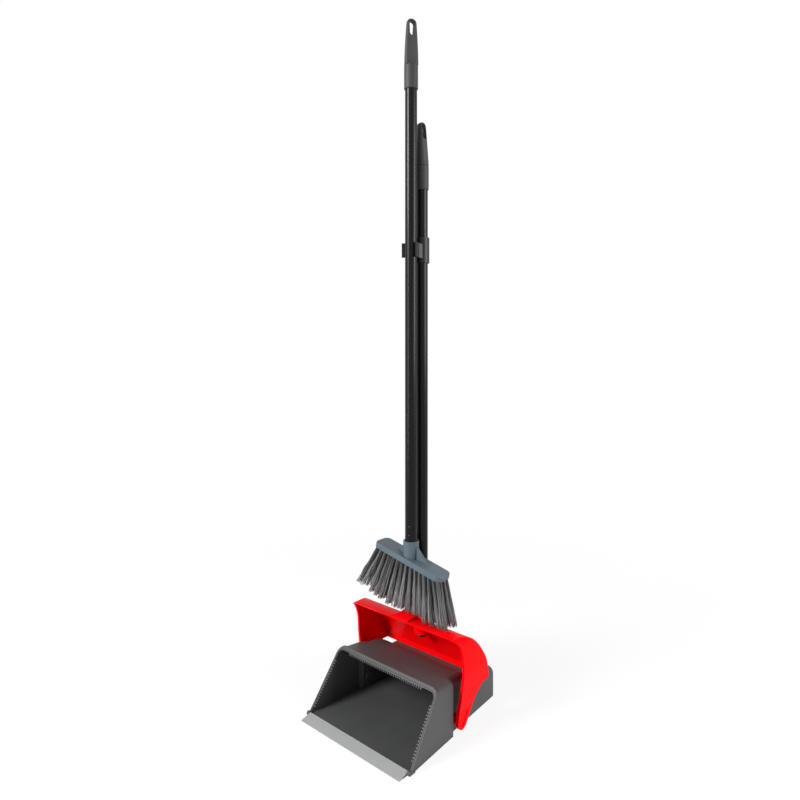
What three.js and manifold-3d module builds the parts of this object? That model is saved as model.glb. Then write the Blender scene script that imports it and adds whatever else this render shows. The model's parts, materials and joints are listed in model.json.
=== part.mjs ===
/**
 * Lobby dust pan with a clipped-on broom, standing upright.
 *
 * Units are millimetres and +Z is up. The origin is the middle of the footprint on the
 * floor, X runs to the right, and the mouth of the pan faces -Y. Every piece is one closed
 * solid: shapes come from three.js outlines and lofts, and manifold-3d joins and cuts them.
 */
import * as THREE from 'three';
import { mergeVertices } from 'three/addons/utils/BufferGeometryUtils.js';
import Module from 'manifold-3d';

const wasm = await Module();
wasm.setup();

// ---------------------------------------------------------------- driving dimensions

const GAP = 0.3; // clearance between pieces that seat on each other

// Pan
const PAN_DEPTH = 290; // lip edge to rear wall
const PAN_WALL = 2.4;
const PAN_FLOOR = 2.6;
const FOOT_HALF_WIDTH = 116.9; // side wall at the mouth's foot
const SIDE_TAPER = 0.051; // the sides close in by this much per millimetre of depth
const HOOD_HEIGHT = 95;
const HOOD_ROOF = 70; // roof length from the mouth's upper edge to its rear edge
const ROOF_DROP = 7; // the roof falls this much towards its rear edge
const HOOD_ROUND = 11;
const MOUTH_LEAN = 72; // how far the mouth's upper edge stands behind its foot
const POCKET_STEP = 7.5; // inward step of the side walls behind the hood
const POCKET_FRONT = 17; // pocket's front face ahead of the pivot
const DECK_HEIGHT = 64.4; // shelf that the handle's skirt rests on
const REAR_HEIGHT = 52;
const REAR_ROUND = 8;
const RIM_THICKNESS = 3.2;
const RIM_FLANGE_SIDE = 1.2;
const RIM_FLANGE_TOP = 3;
const RIM_GROOVE = 0.9; // depth of the groove between the rim's bead and its comb
const COMB_PITCH = 4.6;
const COMB_TOOTH = 3.4; // length of a tooth
const COMB_FILL = 0.5; // share of the pitch that a tooth takes at its root
const COMB_THICKNESS = 1.6;

// Lip
const LIP_RUN = 21; // front edge to back edge
const LIP_RISE = 6;
const LIP_SIDE_GAP = 3.9; // lip's end to the outer face of the side wall
const LIP_EDGE = 0.8;
const TONGUE_RUN = 12; // floor edge that the lip is moulded over
const TOE_PROUD = 1.2; // how far the toes stand out of the side walls
const TOE_RADIUS = 3.6;
const POCKET_RAMP = 5; // the pocket's front face slants over this depth

// Yoke
const PIVOT_SETBACK = 136; // pivot behind the mouth's foot
const PIVOT_Z = 20;
const PIN_RADIUS = 5;
const PIN_SHOULDER = 8;
const HUB_RADIUS = 9; // blind hub round each pin, inside the side wall
const HUB_DEPTH = 3;
const ARM_END_RADIUS = 13;
const ARM_THICKNESS = 4;
const ARM_FOOT_THICKNESS = 7.4; // at the pivot
const ARM_RUNNING_GAP = 4; // play between an arm and the hood's side it swings past
const PIVOT_GAP = 0.6; // the same at the pivot
const YOKE_RISE = 69; // yoke's top above the hood
const YOKE_SHOULDER = 14;
const YOKE_WALL = 3;
const YOKE_REACH = 25.5; // front edge ahead of the pivot
const SKIRT_CLEARANCE = 14; // skirt's inside to the hood's swept rear
const CREST_SETBACK = 6; // flat strip behind the yoke's front edge
const SHELF_PAST_SKIRT = 3;
const ARM_FLARE_FROM = 20; // above the pivot
const ARM_FLARE_TO = 5; // above the hood
const SOCKET_WALL = 3.7;
const SOCKET_DEPTH = 42; // socket below the yoke's top
const COLLAR_RISE = 8;
const BOSS_HALF_WIDTH = 17;
const BOSS_RISE = 2.5; // boss above the yoke's top at the front edge

// Sticks, plugs and grips
const TUBE_RADIUS = 11;
const TUBE_WALL = 0.7;
const STICK_PLAY = 1; // broom head's back to the pan stick
const BROOM_SETBACK = 5.5; // broom stick behind the pivot
const THREAD_DROP = 1.6; // thread's crest inside the tube's outside
const THREAD_RIDGE = 1;
const THREAD_TURNS = 4;
const THREAD_LENGTH = 15;
const PLUG_INSERT = 34;
const TUBE_SEAT = 13; // how deep a tube stands in its socket
const GRIP_SEAT = 40; // how far a tube reaches up into its grip
const PAN_GRIP_BOTTOM = 937;
const PAN_GRIP_HEIGHT = 125;
const PAN_GRIP_TURN = 180; // hole axis, degrees from +X
const BROOM_GRIP_BOTTOM = 1113;
const BROOM_GRIP_HEIGHT = 127.5;
const BROOM_GRIP_TURN = -27;
const GRIP_WALL = 1.4;
const GRIP_TOP_HALF_WIDTH = 9;
const GRIP_LEDGE = 44;
const HOLE_HEIGHT = 29;
const HOLE_WIDTH = 11.5;
const HOLE_BELOW_TOP = 3.4;
const HOLE_LOWER_SHARE = 0.9; // lower end of the hole narrower than its upper end
const GRIP_FACE_AT = 8.4; // flat face ahead of the grip's axis
const GRIP_TOP_BACK = 6; // back of the grip behind its axis, at the top
const GRIP_FACE_FLATNESS = 0.3; // 1 is an oval front, 0 a flat one

// Clip
const CLIP_BOTTOM = 802;
const CLIP_HEIGHT = 46.5;
const CLIP_WALL = 2.6;
const JAW_BOTTOM = 810;
const JAW_HEIGHT = 26;
const JAW_WALL = 3;
const JAW_PAST_CENTRE = 12; // degrees that each jaw wraps past the stick's middle
const JAW_LIP = 5;

// Broom head
const HEAD_LENGTH = 156;
const HEAD_WIDTH = 38;
const HEAD_THICKNESS = 10;
const HEAD_CORNER = 11;
const HEAD_TILT = 11.9; // degrees, left end up
const HEAD_RISE = 95.3; // middle of the block's underside above the yoke
const HEAD_SOCKET_WALL = 3;
const HEAD_SOCKET_HEIGHT = 38.7;
const GUSSET_THICKNESS = 4;

// Bristles
const TUFT_COLUMNS = 15;
const TUFT_ROWS = 4;
const TUFT_END = 6.6; // outer tufts in from the block's ends
const TUFT_SIDE = 6.4; // outer tufts in from the block's long sides
const TUFT_ROOT_RADIUS = 2.6;
const TUFT_TIP_FILL = 0.84; // share of the spacing that the tips fill across a column
const TUFT_ROW_FILL = 1.19; // and along it, where they merge
const TUFT_ROW_SPREAD = 0.2; // extra distance between neighbouring rows at the tips
const TUFT_INSERT = 5;
const TUFT_LENGTH = 90;
const FAN_LEFT = 33; // degrees from the vertical at the left end
const FAN_RIGHT = 12;
const TUFT_REST_GAP = 0.6; // lowest tips above the yoke

// ---------------------------------------------------------------- derived places

const FRONT = -PAN_DEPTH / 2;
const REAR = PAN_DEPTH / 2;
const FOOT_Y = FRONT + LIP_RUN - 1;
const PIVOT_Y = FOOT_Y + PIVOT_SETBACK;
const MOUTH_TOP_Y = FOOT_Y + MOUTH_LEAN;
const ROOF_REAR_Y = MOUTH_TOP_Y + HOOD_ROOF;
const POCKET_Y = PIVOT_Y - POCKET_FRONT;
const MOUTH_ANGLE = Math.atan2(HOOD_HEIGHT, MOUTH_LEAN);
const ROOF_SWEEP = Math.hypot(ROOF_REAR_Y - PIVOT_Y, HOOD_HEIGHT - ROOF_DROP - PIVOT_Z);
const SKIRT_BOTTOM = DECK_HEIGHT + GAP + 0.3;
const LIP_HALF_WIDTH = FOOT_HALF_WIDTH - LIP_SIDE_GAP;
const TOE_HALF_WIDTH = FOOT_HALF_WIDTH + TOE_PROUD;
const ARM_FOOT_INNER = FOOT_HALF_WIDTH - SIDE_TAPER * (POCKET_Y - FOOT_Y) + PIVOT_GAP + GAP;
const ARM_FOOT_OUTER = ARM_FOOT_INNER + ARM_FOOT_THICKNESS - 1;
const YOKE_HALF_WIDTH = FOOT_HALF_WIDTH + ARM_RUNNING_GAP + ARM_THICKNESS;
const YOKE_TOP = HOOD_HEIGHT + YOKE_RISE;
const YOKE_FRONT = PIVOT_Y - YOKE_REACH;
const SKIRT_SWEEP = ROOF_SWEEP + SKIRT_CLEARANCE;
const SKIRT_Y = PIVOT_Y + Math.sqrt(SKIRT_SWEEP ** 2 - (SKIRT_BOTTOM - PIVOT_Z) ** 2) + YOKE_WALL;
const SHELF_END = SKIRT_Y + SHELF_PAST_SKIRT;
const HUB_INSIDE = FOOT_HALF_WIDTH - SIDE_TAPER * PIVOT_SETBACK - POCKET_STEP - PAN_WALL - HUB_DEPTH;
const BROOM_Y = PIVOT_Y + BROOM_SETBACK;
const PAN_STICK_Y = BROOM_Y + HEAD_WIDTH / 2 + STICK_PLAY + TUBE_RADIUS;
const THREAD_RADIUS = TUBE_RADIUS - THREAD_DROP;
const THREAD_CORE = THREAD_RADIUS - THREAD_RIDGE;
const HEAD_CENTRE_Z = YOKE_TOP + HEAD_RISE;
const HEAD_SOCKET_TOP = HEAD_CENTRE_Z + HEAD_SOCKET_HEIGHT;
const YOKE_SOCKET_BOTTOM = YOKE_TOP - SOCKET_DEPTH;
const PAN_TUBE_BOTTOM = YOKE_SOCKET_BOTTOM + THREAD_LENGTH / 2 + GAP;
const BROOM_TUBE_BOTTOM = HEAD_SOCKET_TOP - TUBE_SEAT;
const BORE_RADIUS = TUBE_RADIUS + GAP;
const GRIP_RADIUS = BORE_RADIUS + GRIP_WALL;
const HEAD_SOCKET_RADIUS = BORE_RADIUS + HEAD_SOCKET_WALL;
const TUFT_PITCH_X = (HEAD_LENGTH - 2 * TUFT_END) / (TUFT_COLUMNS - 1);
const TUFT_PITCH_Y = (HEAD_WIDTH - 2 * TUFT_SIDE) / (TUFT_ROWS - 1);
const FAN_SPREAD = (TUFT_LENGTH * THREE.MathUtils.degToRad(FAN_LEFT + FAN_RIGHT)) / (TUFT_COLUMNS - 1);
const TUFT_TIP_HALF_X = (TUFT_TIP_FILL * (TUFT_PITCH_X + FAN_SPREAD)) / 2;
const TUFT_TIP_HALF_Y = (TUFT_ROW_FILL * TUFT_PITCH_Y) / 2;

const COLOURS = {
  pan: 0x4d4e50, lip: 0xa9acab, yoke: 0xe8000c, tube: 0x0b0b0c, grip: 0x3b3c3e, clip: 0x141415,
  head: 0x5a6770, bristle: 0x8a8a8a, plug: 0x2a2b2d,
};

// ---------------------------------------------------------------- shape helpers

/** Turns a closed geometry into a solid, dropping zero-area triangles and facing it out. */
function toSolid(geometry) {
  const bare = geometry.clone();
  bare.deleteAttribute('normal');
  bare.deleteAttribute('uv');
  const merged = mergeVertices(bare, 1e-4);
  const kept = [];
  const index = merged.index.array;
  for (let i = 0; i < index.length; i += 3) {
    const [a, b, c] = [index[i], index[i + 1], index[i + 2]];
    if (a !== b && b !== c && c !== a) kept.push(a, b, c);
  }
  const vertProperties = new Float32Array(merged.attributes.position.array);
  if (signedVolume(vertProperties, kept) < 0) {
    for (let i = 0; i < kept.length; i += 3) [kept[i], kept[i + 1]] = [kept[i + 1], kept[i]];
  }
  return new wasm.Manifold(new wasm.Mesh({ numProp: 3, vertProperties, triVerts: new Uint32Array(kept) }));
}

/** Signed volume of a triangle list, positive when the faces point out. */
function signedVolume(points, triangles) {
  const corner = (i) => new THREE.Vector3().fromArray(points, 3 * triangles[i]);
  let volume = 0;
  for (let i = 0; i < triangles.length; i += 3) {
    volume += corner(i).dot(corner(i + 1).cross(corner(i + 2))) / 6;
  }
  return volume;
}

/** Makes a named mesh from a solid. */
function toMesh(name, solid, colour, roughness = 0.5, metalness = 0) {
  const { vertProperties, triVerts } = solid.getMesh();
  const geometry = new THREE.BufferGeometry();
  geometry.setAttribute('position', new THREE.BufferAttribute(new Float32Array(vertProperties), 3));
  geometry.setIndex(new THREE.BufferAttribute(new Uint32Array(triVerts), 1));
  geometry.computeVertexNormals();
  const material = new THREE.MeshStandardMaterial({ color: colour, roughness, metalness });
  const mesh = new THREE.Mesh(geometry, material);
  mesh.name = name;
  return mesh;
}

/** A shape from corner points, each a pair. */
function outline(points) {
  return new THREE.Shape(points.map(([a, b]) => new THREE.Vector2(a, b)));
}

/** Extrudes an outline drawn in (Y, Z) along X. */
function prismX(points, from, to) {
  const geometry = new THREE.ExtrudeGeometry(outline(points), { depth: to - from, bevelEnabled: false });
  const [x, y, z] = [new THREE.Vector3(0, 1, 0), new THREE.Vector3(0, 0, 1), new THREE.Vector3(1, 0, 0)];
  geometry.applyMatrix4(new THREE.Matrix4().makeBasis(x, y, z).setPosition(from, 0, 0));
  return toSolid(geometry);
}

/** Extrudes an outline drawn in (X, Z) along Y. */
function prismY(points, from, to) {
  const geometry = new THREE.ExtrudeGeometry(outline(points), { depth: to - from, bevelEnabled: false });
  const [x, y, z] = [new THREE.Vector3(1, 0, 0), new THREE.Vector3(0, 0, 1), new THREE.Vector3(0, -1, 0)];
  geometry.applyMatrix4(new THREE.Matrix4().makeBasis(x, y, z).setPosition(0, to, 0));
  return toSolid(geometry);
}

/** Extrudes an outline drawn in (X, Y) along Z. */
function prismZ(points, from, to) {
  const geometry = new THREE.ExtrudeGeometry(outline(points), { depth: to - from, bevelEnabled: false });
  geometry.translate(0, 0, from);
  return toSolid(geometry);
}

/** A cylinder along Z. */
function roundZ(radius, x, y, from, to, sides = 32) {
  const geometry = new THREE.CylinderGeometry(radius, radius, to - from, sides);
  geometry.rotateX(Math.PI / 2).translate(x, y, (from + to) / 2);
  return toSolid(geometry);
}

/** A cylinder along X. */
function roundX(radius, y, z, from, to, sides = 32) {
  const geometry = new THREE.CylinderGeometry(radius, radius, to - from, sides);
  geometry.rotateZ(Math.PI / 2).translate((from + to) / 2, y, z);
  return toSolid(geometry);
}

/** A profile of (radius, Z) pairs that closes on itself, turned round a vertical axis. */
function turned(profile, x, y, sides = 32) {
  const points = [...profile, profile[0]].map(([r, z]) => new THREE.Vector2(r, z));
  const geometry = new THREE.LatheGeometry(points, sides);
  geometry.rotateX(Math.PI / 2).translate(x, y, 0);
  return toSolid(geometry);
}

/** Closes a stack of rings, each with the same count of points, into one skin. */
function loft(rings) {
  const count = rings[0].length;
  const positions = rings.flat().flatMap((p) => [p.x, p.y, p.z]);
  const triangles = [];
  for (let r = 0; r + 1 < rings.length; r += 1) {
    for (let i = 0; i < count; i += 1) {
      const a = r * count + i;
      const b = r * count + ((i + 1) % count);
      triangles.push(a, b, a + count, b, b + count, a + count);
    }
  }
  const last = (rings.length - 1) * count;
  for (let i = 1; i + 1 < count; i += 1) {
    triangles.push(0, i + 1, i, last, last + i, last + i + 1);
  }
  const geometry = new THREE.BufferGeometry();
  geometry.setAttribute('position', new THREE.Float32BufferAttribute(positions, 3));
  geometry.setIndex(triangles);
  return toSolid(geometry);
}

/** Points of a circular arc, with angles in degrees. */
function arc(centreA, centreB, radius, from, to, steps) {
  return Array.from({ length: steps + 1 }, (_, i) => {
    const angle = THREE.MathUtils.degToRad(from + ((to - from) * i) / steps);
    return [centreA + radius * Math.cos(angle), centreB + radius * Math.sin(angle)];
  });
}

/** Points of a smooth curve through the given places. */
function smooth(places, steps) {
  const curve = new THREE.SplineCurve(places.map(([a, b]) => new THREE.Vector2(a, b)));
  return curve.getPoints(steps).map((p) => [p.x, p.y]);
}

/** The same curve moved sideways, to its right as it runs. */
function offset(points, distance) {
  return points.map(([a, b], i) => {
    const [a0, b0] = points[Math.max(i - 1, 0)];
    const [a1, b1] = points[Math.min(i + 1, points.length - 1)];
    const length = Math.hypot(a1 - a0, b1 - b0);
    return [a + (distance * (b1 - b0)) / length, b - (distance * (a1 - a0)) / length];
  });
}

/** Both mirror halves of an outline in (X, anything), given its right half from bottom to top. */
function mirrored(rightHalf) {
  const leftHalf = [...rightHalf].reverse().map(([a, b]) => [-a, b]);
  return [...rightHalf, ...leftHalf];
}

const joined = (solids) => solids.reduce((sum, solid) => sum.add(solid));

// ---------------------------------------------------------------- pan

/** Outer half width of the hood's line at a depth Y. */
const hoodHalfWidth = (y) => FOOT_HALF_WIDTH - SIDE_TAPER * (y - FOOT_Y);

/** Outer height of the pan at a depth Y. */
function panHeight(y) {
  if (y <= MOUTH_TOP_Y) return HOOD_HEIGHT;
  if (y <= ROOF_REAR_Y) return HOOD_HEIGHT - ROOF_DROP * ((y - MOUTH_TOP_Y) / HOOD_ROOF) ** 1.4;
  const reach = Math.min(y - PIVOT_Y, ROOF_SWEEP);
  const round = PIVOT_Z + Math.sqrt(ROOF_SWEEP ** 2 - reach ** 2);
  if (y <= SHELF_END) return Math.max(DECK_HEIGHT, round);
  return THREE.MathUtils.mapLinear(y, SHELF_END, REAR, DECK_HEIGHT, REAR_HEIGHT);
}

/** One cross-section of the pan, square at the floor and rounded at the top. */
function panRing(y, halfWidth, floor, height, round) {
  const steps = 5;
  const right = [[halfWidth, floor], ...arc(halfWidth - round, height - round, round, 0, 90, steps)];
  return mirrored(right).map(([x, z]) => new THREE.Vector3(x, y, z));
}

/** The pan's skin, set in by `inset` all round: 0 is the outside, the wall is the inside. */
function panSkin(inset, floor, from) {
  const to = REAR - inset;
  const pocket = POCKET_Y - inset;
  const shape = (y, half, trim = 0) => {
    const round = Math.max(HOOD_ROUND - inset, 2);
    return panRing(y, half - inset - trim, floor, panHeight(y) - inset - trim, round);
  };
  const roof = [0, 0.35, 0.65].map((share) => THREE.MathUtils.lerp(MOUTH_TOP_Y, pocket, share));
  const rings = [from, ...roof, pocket].map((y) => shape(y, hoodHalfWidth(y)));
  const shelf = PIVOT_Y + Math.sqrt(ROOF_SWEEP ** 2 - (DECK_HEIGHT - PIVOT_Z) ** 2);
  const slope = Array.from({ length: 6 }, (_, i) => THREE.MathUtils.lerp(ROOF_REAR_Y, shelf, i / 5));
  const depths = [pocket + POCKET_RAMP, ...slope, SHELF_END, to - REAR_ROUND];
  rings.push(...depths.map((y) => shape(y, hoodHalfWidth(y) - POCKET_STEP)));
  for (const turn of [30, 60, 90]) {
    const angle = THREE.MathUtils.degToRad(turn);
    const y = to - REAR_ROUND * (1 - Math.sin(angle));
    rings.push(shape(y, hoodHalfWidth(y) - POCKET_STEP, REAR_ROUND * (1 - Math.cos(angle))));
  }
  return loft(rings);
}

/** Everything ahead of the leaning mouth plane, moved back by `shift`. */
function aheadOfMouth(shift) {
  const reach = 2 * HOOD_HEIGHT;
  const foot = FOOT_Y + shift;
  const lean = MOUTH_LEAN / HOOD_HEIGHT;
  const corners = [[foot - reach, -reach], [foot - lean * reach, -reach], [foot + lean * reach, reach]];
  return prismX([...corners, [foot - reach, reach]], -2 * FOOT_HALF_WIDTH, 2 * FOOT_HALF_WIDTH);
}

/** A strip of comb teeth that lies in the mouth plane and points towards -V. */
function combStrip(length, backing) {
  const count = Math.floor(length / COMB_PITCH);
  const start = (-count * COMB_PITCH) / 2;
  const points = [[start, backing]];
  for (let i = 0; i < count; i += 1) {
    const root = start + i * COMB_PITCH;
    const width = COMB_FILL * COMB_PITCH;
    const tip = [0.15, 0.85].map((share) => [root + share * width, -COMB_TOOTH]);
    points.push([root, 0], ...tip, [root + width, 0]);
  }
  points.push([start + count * COMB_PITCH, 0], [start + count * COMB_PITCH, backing]);
  return new THREE.ExtrudeGeometry(outline(points), { depth: COMB_THICKNESS, bevelEnabled: false });
}

/** Comb teeth along the mouth's upper edge and down both of its sides. */
function combs() {
  const slant = Math.hypot(MOUTH_LEAN, HOOD_HEIGHT);
  const upright = new THREE.Matrix4().makeRotationX(MOUTH_ANGLE).setPosition(0, FOOT_Y, 0);
  const inside = COMB_THICKNESS + 0.4;
  const topEdge = slant * (1 - PAN_WALL / HOOD_HEIGHT) - 0.6;
  const top = combStrip(2 * (hoodHalfWidth(MOUTH_TOP_Y) - 26), 1);
  top.translate(0, topEdge, -inside).applyMatrix4(upright);
  const sides = [-1, 1].map((side) => {
    const strip = combStrip(slant - 34, 1);
    const lean = Math.atan2(hoodHalfWidth(FOOT_Y) - hoodHalfWidth(MOUTH_TOP_Y), slant);
    const middle = (hoodHalfWidth(FOOT_Y) + hoodHalfWidth(MOUTH_TOP_Y)) / 2 - PAN_WALL - 0.3;
    strip.rotateZ(side * (lean - Math.PI / 2));
    strip.translate(side * middle, slant / 2 - 3, -inside).applyMatrix4(upright);
    return strip;
  });
  return [top, ...sides].map(toSolid);
}

/** Pan body: floor, leaning mouth with its rim and combs, hood, side pockets and rear box. */
function panBody() {
  const start = FOOT_Y - 2 * LIP_RUN;
  const outside = panSkin(0, 0, start);
  const inside = panSkin(PAN_WALL, PAN_FLOOR, start - PAN_WALL);
  const rimOutside = loft([start, POCKET_Y - 1].map((y) => panRing(
    y, hoodHalfWidth(y) + RIM_FLANGE_SIDE, 0, HOOD_HEIGHT + RIM_FLANGE_TOP, HOOD_ROUND + RIM_FLANGE_SIDE,
  )));
  const rim = rimOutside.intersect(aheadOfMouth(RIM_THICKNESS)).subtract(inside);
  const tongueFront = FRONT + LIP_RUN - TONGUE_RUN;
  const tongue = [[tongueFront, 0], [FOOT_Y + 4, 0], [FOOT_Y + 4, PAN_FLOOR], [tongueFront, PAN_FLOOR - 1]];
  const toeSide = [[FOOT_Y + 12, 0], [FOOT_Y + 12, 2], ...arc(FOOT_Y, TOE_RADIUS, TOE_RADIUS, 60, 270, 10)];
  const toes = [-1, 1].map((side) => prismX(
    toeSide,
    Math.min(side * (LIP_HALF_WIDTH + GAP), side * TOE_HALF_WIDTH),
    Math.max(side * (LIP_HALF_WIDTH + GAP), side * TOE_HALF_WIDTH),
  ));
  const core = panSkin(PAN_WALL / 2, PAN_WALL / 2, start - PAN_WALL);
  const groove = outside.subtract(core).intersect(aheadOfMouth(RIM_GROOVE));
  const shell = outside.subtract(inside).add(rim).subtract(aheadOfMouth(0)).subtract(groove);
  const floorEdge = prismX(tongue, -LIP_HALF_WIDTH, LIP_HALF_WIDTH);
  const hubs = [-1, 1].map((side) => pivotRound(side, HUB_RADIUS, HUB_INSIDE, HUB_INSIDE + HUB_DEPTH + 1));
  const holes = [-1, 1].map(
    (side) => pivotRound(side, PIN_RADIUS + GAP, HUB_INSIDE + PAN_WALL, YOKE_HALF_WIDTH),
  );
  return joined([shell, floorEdge, ...toes, ...combs(), ...hubs]).subtract(joined(holes));
}

/** Soft wedge lip moulded over the floor's front edge. */
function panLip() {
  const back = FRONT + LIP_RUN;
  const tongueFront = back - TONGUE_RUN - GAP;
  const seat = (y) => PAN_FLOOR + GAP - Math.max(0, (FOOT_Y + 4 - y) / (FOOT_Y + 4 - tongueFront)) * 0.9;
  const section = [
    [FRONT, 0], [tongueFront, 0], [tongueFront, seat(tongueFront)], [back, seat(back) + 0.1],
    [back, LIP_RISE], [FRONT, LIP_EDGE],
  ];
  return prismX(section, -LIP_HALF_WIDTH, LIP_HALF_WIDTH);
}

// ---------------------------------------------------------------- yoke

/** Outer line of the cowl in (Y, Z), from its front edge over the crest to the skirt. */
function cowlLine() {
  const crest = YOKE_FRONT + CREST_SETBACK;
  const shares = [
    [0, 0], [0.2, 0.02], [0.38, 0.07], [0.55, 0.19], [0.69, 0.33], [0.86, 0.55], [0.96, 0.77], [1.01, 0.9],
  ];
  const back = smooth(shares.map(([across, down]) => [
    THREE.MathUtils.lerp(crest, SKIRT_Y, across), THREE.MathUtils.lerp(YOKE_TOP, SKIRT_BOTTOM, down),
  ]), 28);
  return [[YOKE_FRONT, YOKE_TOP], ...back, [SKIRT_Y, SKIRT_BOTTOM]];
}

/** The yoke's half outline in (X, Z), moved in by `inset`. */
function yokeFrontView(inset, bottom) {
  const foot = inset ? ARM_FOOT_INNER : ARM_FOOT_OUTER;
  const wide = YOKE_HALF_WIDTH - inset;
  const top = YOKE_TOP - (inset ? YOKE_WALL : 0);
  const round = YOKE_SHOULDER - inset;
  return mirrored([
    [foot, bottom], [foot, PIVOT_Z + ARM_FLARE_FROM], [wide, HOOD_HEIGHT + ARM_FLARE_TO],
    ...arc(wide - round, top - round, round, 0, 90, 8),
  ]);
}

/** Yoke: an open-fronted cowl with two arms, a stick socket and the pivot pins. */
function yoke() {
  const line = cowlLine();
  const end = arc(PIVOT_Y, PIVOT_Z, ARM_END_RADIUS, -35, -180, 12);
  const rearEdge = smooth([
    [PIVOT_Y + 55, SKIRT_BOTTOM], [PIVOT_Y + 39, PIVOT_Z + 31], [PIVOT_Y + 27, PIVOT_Z + 15], end[0],
  ], 10);
  const frontEdge = smooth([
    end.at(-1), [PIVOT_Y - 8, PIVOT_Z + 26], [PIVOT_Y - 5.5, PIVOT_Z + 50], [PIVOT_Y - 5, PIVOT_Z + 75],
    [PIVOT_Y - 7, YOKE_TOP - 34], [PIVOT_Y - 14, YOKE_TOP - 14], [PIVOT_Y - 23, YOKE_TOP - 4],
  ], 18);
  const side = [...line, ...rearEdge, ...end.slice(1), ...frontEdge.slice(1)];
  const outer = prismX(side, -YOKE_HALF_WIDTH, YOKE_HALF_WIDTH)
    .intersect(prismY(yokeFrontView(0, 0), FRONT, REAR));
  const under = offset(line, YOKE_WALL);
  const below = -YOKE_TOP;
  const hollow = [
    [FRONT, below], [FRONT, YOKE_TOP - YOKE_WALL], ...under.slice(1), [under.at(-1)[0], below],
  ];
  const cavity = prismX(hollow, -YOKE_HALF_WIDTH, YOKE_HALF_WIDTH)
    .intersect(prismY(yokeFrontView(ARM_THICKNESS, below), FRONT - 1, REAR));

  const socketRadius = BORE_RADIUS + SOCKET_WALL;
  const collarTop = YOKE_TOP + COLLAR_RISE;
  const socket = roundZ(socketRadius, 0, PAN_STICK_Y, YOKE_SOCKET_BOTTOM, collarTop);
  const bossSide = [
    [YOKE_FRONT + 1, YOKE_TOP - 2], [PAN_STICK_Y, YOKE_TOP - 22], [PAN_STICK_Y, collarTop - 1],
    [PAN_STICK_Y - socketRadius, collarTop - 1], [YOKE_FRONT + 1, YOKE_TOP + BOSS_RISE],
  ];
  const bossPlan = [
    [-BOSS_HALF_WIDTH, YOKE_FRONT], [BOSS_HALF_WIDTH, YOKE_FRONT],
    [socketRadius - 1, PAN_STICK_Y], [1 - socketRadius, PAN_STICK_Y],
  ];
  const boss = prismX(bossSide, -BOSS_HALF_WIDTH, BOSS_HALF_WIDTH)
    .intersect(prismZ(bossPlan, 0, 2 * YOKE_TOP));
  const bore = roundZ(BORE_RADIUS, 0, PAN_STICK_Y, PAN_TUBE_BOTTOM - GAP, 2 * YOKE_TOP);
  const threadBore = roundZ(THREAD_RADIUS + GAP, 0, PAN_STICK_Y, 0, YOKE_TOP);
  const wallAtPivot = hoodHalfWidth(PIVOT_Y) - POCKET_STEP;
  const pins = [-1, 1].flatMap((side) => [
    pivotRound(side, PIN_RADIUS, HUB_INSIDE + PAN_WALL + GAP, ARM_FOOT_INNER + 1),
    pivotRound(side, PIN_SHOULDER, wallAtPivot + GAP + SIDE_TAPER * PIN_SHOULDER, ARM_FOOT_INNER + 1),
  ]);
  const shell = joined([outer.subtract(cavity), socket, boss]).subtract(bore).subtract(threadBore);
  return joined([shell, ...pins]).subtract(armRecesses());
}

/** A round piece on the pivot's axis, on one side of the pan. */
function pivotRound(side, radius, from, to) {
  const ends = [side * from, side * to];
  return roundX(radius, PIVOT_Y, PIVOT_Z, Math.min(...ends), Math.max(...ends), 24);
}

/** Shallow tear-drop recesses in the outer faces of the arm ends. */
function armRecesses() {
  const lower = arc(PIVOT_Y - 1, PIVOT_Z - 3, 5, 150, 330, 8);
  const upper = arc(PIVOT_Y + 11, PIVOT_Z + 12, 3, -30, 150, 6);
  const face = ARM_FOOT_OUTER;
  const depth = 1.2;
  return joined([-1, 1].map((side) => prismX(
    [...lower, ...upper],
    side > 0 ? face - depth : -face - depth,
    side > 0 ? face + depth : -face + depth,
  )));
}

// ---------------------------------------------------------------- sticks, plugs and grips

/** A steel tube that stands on `bottom`. */
function tube(y, bottom, top) {
  const inner = TUBE_RADIUS - TUBE_WALL;
  return turned([[inner, bottom], [TUBE_RADIUS, bottom], [TUBE_RADIUS, top], [inner, top]], 0, y, 36);
}

/** A plug that fills the tube's end and ends in a coarse thread of rounded ridges. */
function threadedPlug(y, tubeBottom) {
  const insert = TUBE_RADIUS - TUBE_WALL - GAP;
  const pitch = (THREAD_LENGTH - 2) / THREAD_TURNS;
  const profile = [[0, tubeBottom - THREAD_LENGTH], [THREAD_CORE - 0.6, tubeBottom - THREAD_LENGTH]];
  for (let i = 0; i < THREAD_TURNS; i += 1) {
    const z = tubeBottom - THREAD_LENGTH + 1 + i * pitch;
    profile.push([THREAD_CORE, z], [THREAD_RADIUS, z + 0.35 * pitch]);
    profile.push([THREAD_RADIUS, z + 0.55 * pitch], [THREAD_CORE, z + 0.9 * pitch]);
  }
  profile.push([THREAD_CORE, tubeBottom], [insert, tubeBottom], [insert, tubeBottom + PLUG_INSERT]);
  profile.push([0, tubeBottom + PLUG_INSERT]);
  return turned(profile, 0, y, 24);
}

/** One level of a grip: flat towards -Y from `front`, and rounded at the back. */
function gripRing({ half, front, back, flatness = GRIP_FACE_FLATNESS, z }) {
  const count = 44;
  return Array.from({ length: count }, (_, i) => {
    const angle = (2 * Math.PI * i) / count;
    const [c, s] = [Math.cos(angle), Math.sin(angle)];
    const x = half * Math.sign(c) * Math.abs(c) ** Math.max(flatness, 0.8);
    const y = s < 0 ? -front * Math.abs(s) ** flatness : back * s;
    return new THREE.Vector3(x, y, z);
  });
}

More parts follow.
